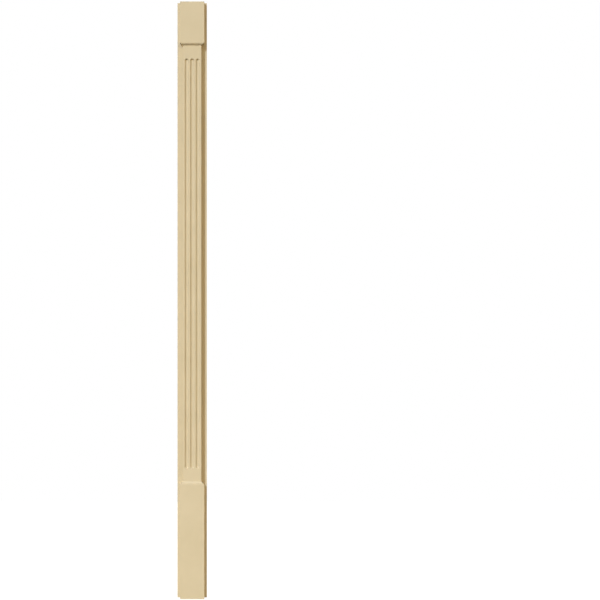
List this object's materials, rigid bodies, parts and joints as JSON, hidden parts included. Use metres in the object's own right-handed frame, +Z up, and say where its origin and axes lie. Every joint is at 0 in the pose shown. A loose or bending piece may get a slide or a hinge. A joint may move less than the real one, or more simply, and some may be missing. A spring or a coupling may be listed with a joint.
{
  "type": "fluted door-surround pilaster",
  "caption": "Slim moulded pilaster: a flat back plate, a raised shaft with stopped flutes, a plain capital block and a tall plain plinth block with small returned mouldings.",
  "frame": {"origin": "middle of the flat back face, where the pilaster lies against the wall, at half its width and half its height", "axes": "+Z up along the shaft towards the capital block, +Y into the wall, so the fluted face looks along -Y, +X to the right as seen from the front"},
  "size_m": [0.108, 0.0411, 2.184],
  "materials": {
    "primer": "smooth moulded urethane in a matt light-tan factory primer"
  },
  "bodies": {
    "root": {"pilaster": "primer"}
  },
  "joints": []
}
